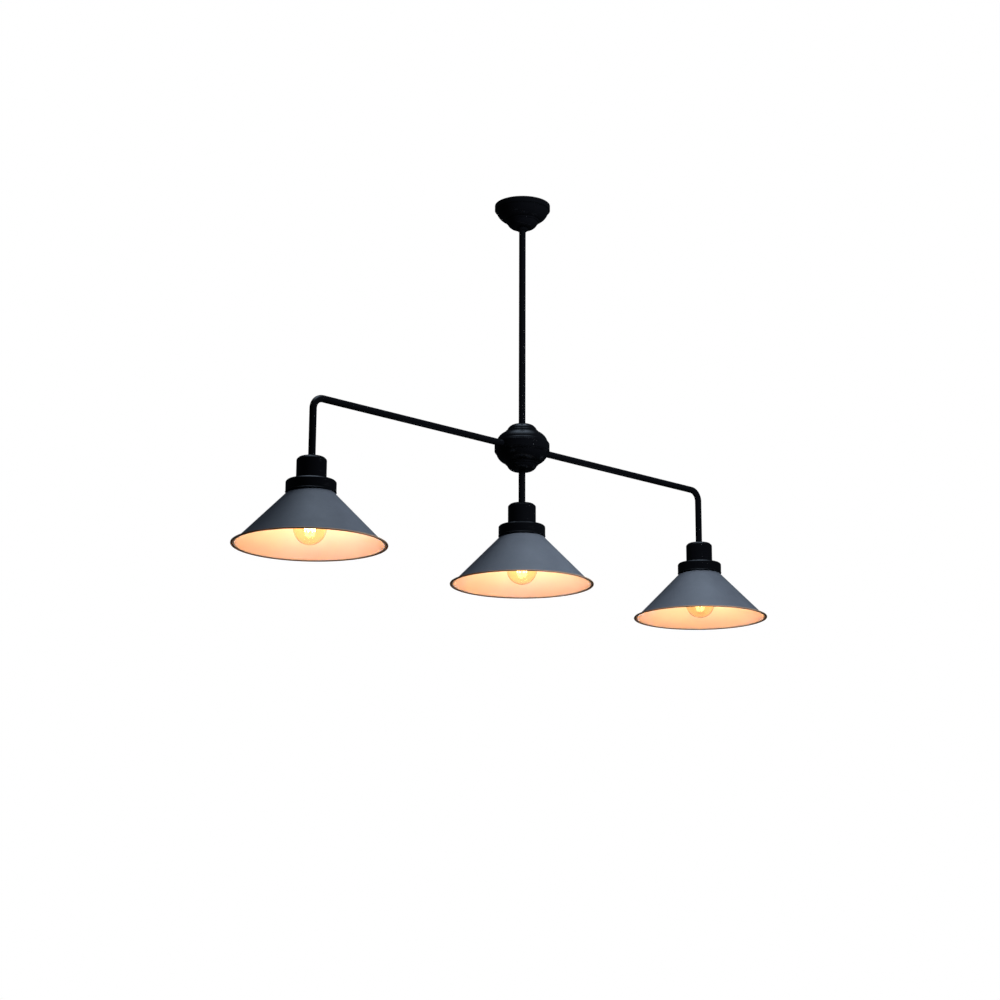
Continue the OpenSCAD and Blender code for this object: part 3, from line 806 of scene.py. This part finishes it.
def bulb_mount(name):
    """Glass stem with its pinch, two lead wires, support hooks and the caged filament."""
    node = "bulb_filament_" + name
    origin = (LAMP_X[name], 0, base(node))
    h = top(node) - base(node)
    stem_foot = CAGE_HIGH + 3 * MM
    body = "bulb_" + name
    outline = rounded([
        (0, h, 0),
        (11.2 * MM, h, 0.5 * MM),
        (11.2 * MM, h - 1.2 * MM, 0.6 * MM),
        (5.5 * MM, h - 5 * MM, 4 * MM),
        (3.2 * MM, h - 14 * MM, 5 * MM),
        (3.0 * MM, stem_foot + 3 * MM, 1 * MM),
        (1.3 * MM, stem_foot, 1 * MM),
        (1.2 * MM, CAGE_LOW + 3 * MM, 0.6 * MM),
        (1.6 * MM, CAGE_LOW + 1.4 * MM, 0.8 * MM),
        (0, CAGE_LOW, 0),
    ], closed=False)
    stem = lathe("glass_mount_" + name, outline, body, LOOKS["mount_glass"], origin, segments=48,
                 closed=False)
    stem.visible_shadow = False

    wires = bmesh.new()
    for i in range(FILAMENT_RUNS):
        high = i % 2 == 0
        a = TAU * i / FILAMENT_RUNS
        z = CAGE_HIGH if high else CAGE_LOW
        out = Vector((math.cos(a), math.sin(a), 0))
        rise = 1.6 * MM if high else -0.4 * MM
        wire_mesh(wires, [
            out * 1.0 * MM + Vector((0, 0, z + rise + (2 * MM if high else 1.2 * MM))),
            out * CAGE_R * 0.45 + Vector((0, 0, z + rise + 0.6 * MM)),
            out * CAGE_R * 0.97 + Vector((0, 0, z + rise * 0.4)),
            out * (CAGE_R + 0.35 * MM) + Vector((0, 0, z)),
        ], 0.2 * MM, around=6)
    for side in (-1, 1):
        a = TAU / FILAMENT_RUNS * (0 if side > 0 else FILAMENT_RUNS // 2)
        out = Vector((math.cos(a), math.sin(a), 0))
        wire_mesh(wires, [
            out * 2.6 * MM + Vector((0, 0, h - 12 * MM)),
            out * 3.9 * MM + Vector((0, 0, h - 17 * MM)),
            out * CAGE_R * 0.8 + Vector((0, 0, CAGE_HIGH + 6 * MM)),
            out * CAGE_R + Vector((0, 0, CAGE_HIGH + 0.4 * MM)),
        ], 0.3 * MM)
    supports = finish_mesh("support_wires_" + name, wires, body, LOOKS["wire"], origin)
    supports.visible_shadow = False

    path = []
    for i in range(FILAMENT_RUNS + 1):
        a = TAU * i / FILAMENT_RUNS
        high = i % 2 == 0
        z = CAGE_HIGH if high else CAGE_LOW
        way = 1 if high else -1
        for s in (-1, 0, 1):
            b = a + s * TAU / FILAMENT_RUNS * HOOK_SHARE
            if (i == 0 and s < 0) or (i == FILAMENT_RUNS and s > 0):
                continue
            path.append((CAGE_R * math.cos(b), CAGE_R * math.sin(b), z - way * abs(s) * 0.7 * MM))
    coil = bmesh.new()
    wire_mesh(coil, path, FILAMENT_R)
    piece = finish_mesh("filament_" + name, coil, body, LOOKS["filament"], origin)
    piece.visible_diffuse = False
    piece.visible_shadow = False
    stand_for(piece, "filament", node)


# ---------------------------------------------------------------- hub and canopy

# The stepped pressing of the hub and canopy, in heights over the hub's middle.
PRESSING_SHEET = 1.2 * MM
PRESSING_R = 52 * MM
PRESSING_RIM = 10.5 * MM
TIER_CENTRE, TIER_R = (25.5 * MM, 6 * MM), 26 * MM
BEAD_CENTRE, BEAD_R = (30.8 * MM, 32 * MM), 2.2 * MM
DOME_CENTRE, DOME_R = (14 * MM, 30.5 * MM), 16.5 * MM
TIP_POINT = 12 * MM           # radius of a point on the flat tip
CANOPY_SCALE = 1.04           # the canopy's pressing against the hub's


def pressing_out():
    """Outer outline of the stepped pressing, above its rim: tier, bead and dome."""
    return (
        arc(TIER_CENTRE, TIER_R, 13.3, 71, 22)
        + arc(BEAD_CENTRE, BEAD_R, -48, 108, 16)
        + arc(DOME_CENTRE, DOME_R, 10, 77.4, 20)
    )


def pressing_in():
    """Inner outline of the pressing: tier and dome, a sheet's thickness inside."""
    return (
        arc(TIER_CENTRE, TIER_R - PRESSING_SHEET, 11, 71, 16)
        + arc(DOME_CENTRE, DOME_R - PRESSING_SHEET, 12, 76, 14)
    )


def hub_cup(node, name, up):
    """One stepped cup of the hub; up is 1 for the upper cup and -1 for the lower one."""
    tip = 46.6 * MM
    hole = 5.2 * MM
    inner = PRESSING_R - PRESSING_SHEET
    outline = [
        (PRESSING_R, PRESSING_RIM),
        (PRESSING_R, PRESSING_RIM + 0.3 * MM),
        (51.9 * MM, PRESSING_RIM + 0.9 * MM),
    ]
    outline += pressing_out()
    outline += [(TIP_POINT, tip - 0.01 * MM), (9.5 * MM, tip), (hole, tip), (hole, tip - PRESSING_SHEET)]
    outline += pressing_in()[::-1]
    outline += [(inner, PRESSING_RIM + 0.3 * MM), (inner, PRESSING_RIM)]
    if up < 0:
        outline = [(r, -z) for r, z in outline[::-1]]
    piece = lathe(name, outline, "fixture", LOOKS["black"], (0, 0, HUB_Z), segments=128)
    stand_for(piece, "black_paint", node)


def hub_band():
    """Turned band between the cups, with a shallow groove at each edge. It has no holes: the arms
    run through its wall, where the CAD piece is bored for them."""
    r = radius("hub_band")
    h = PRESSING_RIM
    inner = 49 * MM
    groove = r - 1.0 * MM
    edge = r - 1.6 * MM
    outline = rounded([
        (inner, -h, 0.3 * MM),
        (edge, -h, 0.5 * MM),
        (groove, 1.5 * MM - h, 0.4 * MM),
        (groove, 2.3 * MM - h, 0.3 * MM),
        (r, 2.9 * MM - h, 0.5 * MM),
        (r, h - 2.9 * MM, 0.5 * MM),
        (groove, h - 2.3 * MM, 0.3 * MM),
        (groove, h - 1.5 * MM, 0.4 * MM),
        (edge, h, 0.5 * MM),
        (inner, h, 0.3 * MM),
    ])
    piece = lathe("hub_ring", outline, "fixture", LOOKS["black"], (0, 0, HUB_Z), segments=160)
    stand_for(piece, "black_paint", "hub_band")


def canopy():
    """Ceiling canopy: a straight band and the same stepped pressing, upside down."""
    band_r = radius("canopy")
    band_h = 11 * MM
    full = top("canopy") - base("canopy")
    hole = TUBE_R + 0.45 * MM
    inner = band_r - PRESSING_SHEET
    step_r = PRESSING_R * CANOPY_SCALE
    under = band_h - PRESSING_SHEET

    def scaled(points):
        """The pressing's outline at the canopy's scale, its rim at the band's edge."""
        return [(r * CANOPY_SCALE, (z - PRESSING_RIM) * CANOPY_SCALE + band_h) for r, z in points]

    outline = rounded([
        (inner, 0, 0.3 * MM),
        (band_r, 0, 0.5 * MM),
        (band_r, band_h, 1.4 * MM),
        (step_r, band_h, 0.3 * MM),
        (step_r - 0.1 * MM, band_h + 1.0 * MM, 0),
    ], closed=False)
    outline += scaled(pressing_out())
    outline += [(TIP_POINT, full - 0.01 * MM), (hole, full), (hole, full - PRESSING_SHEET)]
    outline += scaled(pressing_in())[::-1]
    outline += [
        ((PRESSING_R - PRESSING_SHEET) * CANOPY_SCALE, under),
        (inner - 1 * MM, under),
        (inner, under - 1 * MM),
    ]
    outline = [(r, -z) for r, z in outline[::-1]]
    piece = lathe("canopy_skin", outline, "canopy", LOOKS["black"], (0, 0, 0), segments=144)
    stand_for(piece, "black_paint", "canopy")


# ---------------------------------------------------------------- tubes

ELBOW_R = 22 * MM             # to the middle of the tube
RUN_STEPS, ELBOW_STEPS, DROP_STEPS = 14, 20, 5
STRAIGHT_STEPS = 12


def straight(name, node):
    """Upright tube, with points close together at its ends."""
    low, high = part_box(node)
    axis = (low + high) / 2
    heights = [low.z, low.z + 0.3 * MM, low.z + 0.8 * MM]
    heights += [low.z + (high.z - low.z) * i / STRAIGHT_STEPS for i in range(1, STRAIGHT_STEPS)]
    heights += [high.z - 0.8 * MM, high.z]
    piece = tube(name, [Vector((axis.x, axis.y, z)) for z in heights])
    stand_for(piece, "black_paint", node)


def bent_arm(name, side):
    """Horizontal tube, tight elbow, and the drop to the lamp."""
    node = "arm_" + name
    low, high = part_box(node)
    lamp_x = LAMP_X[name]
    start = side * min(abs(low.x), abs(high.x))
    corner_x = lamp_x - side * ELBOW_R
    path = []
    for i in range(RUN_STEPS + 1):
        path.append(Vector((start + (corner_x - start) * i / RUN_STEPS, 0, HUB_Z)))
    for i in range(1, ELBOW_STEPS + 1):
        a = math.radians(90 * i / ELBOW_STEPS)
        across, down = ELBOW_R * math.sin(a), ELBOW_R * (1 - math.cos(a))
        path.append(Vector((corner_x + side * across, 0, HUB_Z - down)))
    drop = low.z - HUB_Z + ELBOW_R
    for i in range(1, DROP_STEPS + 1):
        path.append(Vector((lamp_x, 0, HUB_Z - ELBOW_R + drop * i / DROP_STEPS)))
    piece = tube("tube_arm_" + name, path)
    stand_for(piece, "black_paint", node)


# ---------------------------------------------------------------- ceiling fittings

EASED_ANGLE = 40              # degrees


def eased(node, name, material, slot, width):
    """The CAD piece's own shape, its edges over EASED_ANGLE eased by a bevel of this width."""
    source = frame["nodes"][node]
    mesh = bmesh.new()
    mesh.from_mesh(source.data)
    bmesh.ops.remove_doubles(mesh, verts=mesh.verts, dist=1e-6)
    bmesh.ops.dissolve_limit(mesh, angle_limit=math.radians(1), verts=mesh.verts, edges=mesh.edges)
    edges = [
        e for e in mesh.edges
        if len(e.link_faces) == 2 and e.calc_face_angle() > math.radians(EASED_ANGLE)
    ]
    bmesh.ops.bevel(mesh, geom=edges, offset=width, segments=2, profile=0.6, affect="EDGES",
                    clamp_overlap=True)
    piece = finish_mesh(name, mesh, source["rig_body"], material, sharp=EASED_ANGLE)
    stand_for(piece, slot, node)


def dress(material, *nodes):
    """Gives carried-over CAD nodes their material."""
    for node in nodes:
        data = frame["nodes"][node].data
        data.materials.clear()
        data.materials.append(material)


for lamp in LAMPS:
    shade(lamp)
    shade_cap(lamp)
    socket_cup(lamp)
    holder_skirt(lamp)
    shade_ring(lamp)
    screw_shell(lamp)
    bulb_glass(lamp)
    bulb_base(lamp)
    bulb_contact(lamp)
    bulb_mount(lamp)

hub_cup("hub_upper_cup", "hub_top", 1)
hub_cup("hub_lower_cup", "hub_bottom", -1)
hub_band()
canopy()
straight("tube_stem", "stem_tube")
straight("tube_drop", "drop_tube")
bent_arm("left", -1)
bent_arm("right", 1)
eased("canopy_collar", "collar", LOOKS["black"], "black_paint", 0.2 * MM)
eased("ceiling_plate", "plate_eased", LOOKS["zinc"], "zinc_steel", 0.25 * MM)
eased("stem_yoke", "yoke_eased", LOOKS["zinc"], "zinc_steel", 0.25 * MM)
eased("terminal_block", "block_eased", LOOKS["terminal"], "terminal_plastic", 0.4 * MM)

dress(LOOKS["zinc"], "plate_screws", "threaded_nipples", "lock_nuts", "hub_core", "hub_grub_screws")
dress(LOOKS["black"], "collar_screw")
dress(LOOKS["brass"], "terminal_screws", "earth_screw", "centre_contacts")
dress(LOOKS["porcelain"], "holder_inserts")
dress(LOOKS["sleeve"], "wires_left", "wires_centre", "wires_right")
dress(LOOKS["earth"], "earth_wire")
dress(LOOKS["phenolic"], *("holder_top_" + lamp for lamp in LAMPS))


# ---------------------------------------------------------------- stage and light

FLOOR_Z = -2.35
DAYLIGHT = (0.86, 0.93, 1.0)
GLOW = (1.0, 0.43, 0.20)
CORE = (0.2, 0.5, 1.0)
CAGE_MIDDLE = 15.6 * MM
LAMP_BOUNCE = (1.0, 0.72, 0.5)
SKY = (0.72, 0.89, 1.10)
FLOOR_SIZE = 250
FLOOR_GLOW = 0.86             # own brightness, so that it stays nearly white
FLOOR_DARK, FLOOR_PALE = (0.34, 0.34, 0.34), (0.37, 0.37, 0.37)
GLOW_POWER, CORE_POWER = 8.2, 0.17        # in watts
GLOW_R = 8.5 * MM             # radius of the balls of light in a cage
KEY_POWER, KEY_SIZE = 34, 0.5             # area lights: watts, and metres across
KEY_HEIGHT, KEY_RIGHT, KEY_NEAR = -0.12, 0.8, 0.75    # from the ceiling's middle, as the camera sees it
KEY_TARGET = (0, 0, -0.7)
TOP_POWER, TOP_SIZE, TOP_HEIGHT = 26, 2.4, 1.6
BOUNCE_POWER, BOUNCE_SIZE, BOUNCE_RISE = 5, 2.0, 0.05     # the rise is over the floor
SURROUND = [(0.0, 0.01), (0.85, 0.02), (0.94, 0.65), (1.0, 2.1)]   # (height, brightness)


def make_floor():
    """A wide pale floor that neither lights the lamp nor shows in its reflections."""
    mesh = bmesh.new()
    bmesh.ops.create_grid(mesh, x_segments=8, y_segments=8, size=FLOOR_SIZE)
    data = bpy.data.meshes.new("floor")
    mesh.to_mesh(data)
    mesh.free()
    n = Nodes("floor_plaster")
    n.set(
        Base_Color=n.ramp(n.noise(0.8, 4.0), [(0.3, FLOOR_DARK), (0.7, FLOOR_PALE)]),
        Roughness=0.9,
        Specular_IOR_Level=0.1,
        Emission_Color=(1, 1, 1, 1),
        Emission_Strength=FLOOR_GLOW,
    )
    data.materials.append(n.material)
    floor = bpy.data.objects.new("floor", data)
    floor.location = (0, 0, FLOOR_Z)
    floor.visible_diffuse = False
    floor.visible_glossy = False
    bpy.context.scene.collection.objects.link(floor)


def make_world():
    """Plain white to the eye; as a light, a soft bright ceiling over dim walls and floor."""
    world = bpy.data.worlds.new("surround")
    world.use_nodes = True
    tree = world.node_tree

    def add(kind, **settings):
        node = tree.nodes.new(kind)
        for key, value in settings.items():
            setattr(node, key, value)
        return node

    place = add("ShaderNodeTexCoord")
    parts = add("ShaderNodeSeparateXYZ")
    ramp = add("ShaderNodeValToRGB")
    tree.links.new(place.outputs["Generated"], parts.inputs["Vector"])
    tree.links.new(parts.outputs["Z"], ramp.inputs["Fac"])
    stops = ramp.color_ramp.elements
    while len(stops) < len(SURROUND):
        stops.new(0.5)
    for stop, (height, level) in zip(stops, SURROUND):
        stop.position = height
        stop.color = (level * SKY[0], level * SKY[1], level * SKY[2], 1)
    light = tree.nodes["Background"]
    tree.links.new(ramp.outputs["Color"], light.inputs["Color"])
    plain = add("ShaderNodeBackground")
    plain.inputs["Color"].default_value = (1, 1, 1, 1)
    rays = add("ShaderNodeLightPath")
    mix = add("ShaderNodeMixShader")
    tree.links.new(rays.outputs["Is Camera Ray"], mix.inputs["Fac"])
    tree.links.new(light.outputs["Background"], mix.inputs[1])
    tree.links.new(plain.outputs["Background"], mix.inputs[2])
    tree.links.new(mix.outputs["Shader"], tree.nodes["World Output"].inputs["Surface"])
    bpy.context.scene.world = world


def area_light(name, place, target, size, power, colour):
    """A square light at a place, turned to a target."""
    data = bpy.data.lights.new(name, "AREA")
    data.shape = "RECTANGLE"
    data.size = data.size_y = size
    data.energy = power
    data.color = colour
    light = bpy.data.objects.new(name, data)
    light.location = place
    light.rotation_mode = "QUATERNION"
    light.rotation_quaternion = (Vector(target) - Vector(place)).to_track_quat("-Z", "Y")
    bpy.context.scene.collection.objects.link(light)
    return light


def bulb_light(name, kind, colour, power, fading):
    """A ball of light in the filament's cage; fading is the falloff node's output."""
    data = bpy.data.lights.new(kind + "_" + name, "POINT")
    data.energy = power
    data.color = colour
    data.shadow_soft_size = GLOW_R
    data.use_nodes = True
    tree = data.node_tree
    falloff = tree.nodes.new("ShaderNodeLightFalloff")
    falloff.inputs["Strength"].default_value = 1
    tree.links.new(falloff.outputs[fading], tree.nodes["Emission"].inputs["Strength"])
    light = bpy.data.objects.new(kind + "_" + name, data)
    light.location = (LAMP_X[name], 0, base("bulb_filament_" + name) + CAGE_MIDDLE)
    bpy.context.scene.collection.objects.link(light)
    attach(light, "bulb_" + name)


make_floor()
make_world()
right, ahead = heading(CAMERA_YAW + 90, 0), heading(CAMERA_YAW, 0)
key_place = Vector((0, 0, KEY_HEIGHT)) + right * KEY_RIGHT - ahead * KEY_NEAR
bounce_place = (0, 0, FLOOR_Z + BOUNCE_RISE)
key = area_light("key", key_place, KEY_TARGET, KEY_SIZE, KEY_POWER, DAYLIGHT)
top_fill = area_light("top_fill", (0, 0, TOP_HEIGHT), (0, 0, 0), TOP_SIZE, TOP_POWER, DAYLIGHT)
bounce = area_light("bounce", bounce_place, (0, 0, 0), BOUNCE_SIZE, BOUNCE_POWER, LAMP_BOUNCE)
for soft in (key, top_fill, bounce):
    soft.visible_glossy = False
    soft.visible_camera = False
for lamp in LAMPS:
    bulb_light(lamp, "glow", GLOW, GLOW_POWER, "Linear")
    bulb_light(lamp, "core", CORE, CORE_POWER, "Quadratic")

bpy.context.scene.view_settings.view_transform = "Standard"
